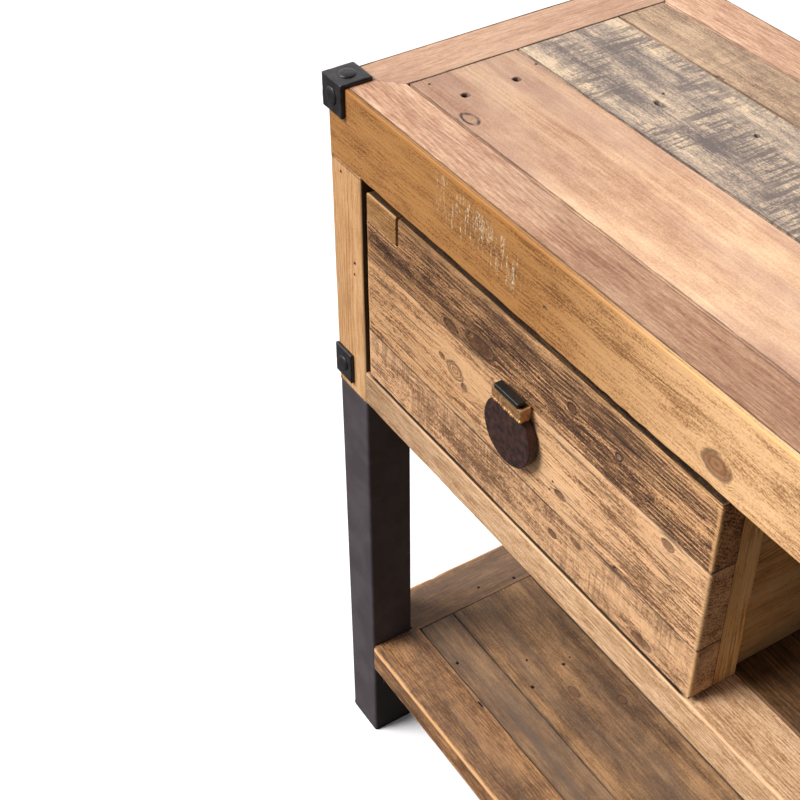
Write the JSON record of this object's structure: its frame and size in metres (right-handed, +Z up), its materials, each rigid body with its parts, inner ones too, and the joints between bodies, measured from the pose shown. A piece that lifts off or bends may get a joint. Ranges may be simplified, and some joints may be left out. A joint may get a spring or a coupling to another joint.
{
  "type": "side table with drawer",
  "caption": "Console side table of reclaimed timber planks on square black steel legs, with a sliding drawer, an open bay beside it, a low shelf and iron corner caps.",
  "frame": {"origin": "centre of the overall bounding box, at floor level", "axes": "+X to the right along the table's length, +Y to the back, +Z up; the drawer opens towards -Y"},
  "size_m": [1.032, 0.3926, 0.841],
  "materials": {
    "wood_top_frame": "oiled, worn",
    "wood_top_pink": "oiled, worn",
    "wood_top_grey": "saw-marked, weathered",
    "wood_top_umber": "saw-marked, weathered",
    "wood_honey": "oiled, worn edges",
    "wood_post": "oiled",
    "wood_pale": "oiled",
    "wood_panel": "oiled",
    "wood_floor": "oiled",
    "wood_divider": "oiled",
    "wood_drawer_dark": "deep-grained, weathered",
    "wood_drawer_tan": "worn",
    "wood_patch": "worn",
    "wood_box": "planed",
    "wood_shelf_frame": "oiled, worn edges",
    "wood_shelf_plank": "oiled, dark",
    "steel_black": "satin black",
    "iron_cap": "hammered, waxed",
    "patina_iron": "brown patina",
    "brass_tan": "aged, brushed",
    "black_gloss": "gloss black",
    "steel_plain": "zinc",
    "glide_plastic": "matte"
  },
  "bodies": {
    "table": {"top_board_front": "wood_top_frame", "top_board_back": "wood_top_frame", "top_board_left": "wood_top_frame", "top_board_right": "wood_top_frame", "top_plank_front": "wood_top_pink", "top_plank_middle": "wood_top_grey", "top_plank_back": "wood_top_umber", "rail_top_front": "wood_honey", "rail_top_back": "wood_honey", "rail_top_left": "wood_honey", "rail_top_right": "wood_honey", "post_front_left": "wood_post", "post_front_right": "wood_post", "post_back_left": "wood_post", "post_back_right": "wood_post", "rail_bottom_front": "wood_pale", "rail_bottom_back": "wood_pale", "rail_bottom_left": "wood_pale", "rail_bottom_right": "wood_pale", "side_boards_left": "wood_panel", "side_boards_right": "wood_panel", "back_boards": "wood_panel", "floor_planks": "wood_floor", "divider_post": "wood_divider", "divider_panel": "wood_divider", "top_battens": "wood_box", "floor_battens": "wood_box", "drawer_runners": "wood_box", "drawer_kickers": "wood_box", "drawer_stops": "wood_box", "shelf_board_front": "wood_shelf_frame", "shelf_board_back": "wood_shelf_frame", "shelf_board_left": "wood_shelf_frame", "shelf_board_right": "wood_shelf_frame", "shelf_planks": "wood_shelf_plank", "leg_front_left": "steel_black", "leg_front_right": "steel_black", "leg_back_left": "steel_black", "leg_back_right": "steel_black", "shelf_brackets": "steel_black", "caps_top": "iron_cap", "caps_low": "iron_cap", "cap_rivets": "iron_cap", "leg_bolts": "steel_plain", "shelf_screws": "steel_plain", "leg_glides": "glide_plastic"},
    "drawer": {"drawer_front_top": "wood_drawer_dark", "drawer_front_patch": "wood_patch", "drawer_front_middle": "wood_drawer_tan", "drawer_front_bottom": "wood_drawer_tan", "drawer_side_left": "wood_box", "drawer_side_right": "wood_box", "drawer_box_front": "wood_box", "drawer_back": "wood_box", "drawer_bottom": "wood_box", "drawer_screws": "steel_plain", "pull_disc": "patina_iron", "pull_collar": "brass_tan", "pull_tab": "black_gloss", "pull_screw": "steel_plain"}
  },
  "joints": [
    {"name": "drawer_slide", "type": "slide", "parent": "table", "child": "drawer", "axis": [0, -1, 0], "range_m": [0, 0.24]}
  ]
}
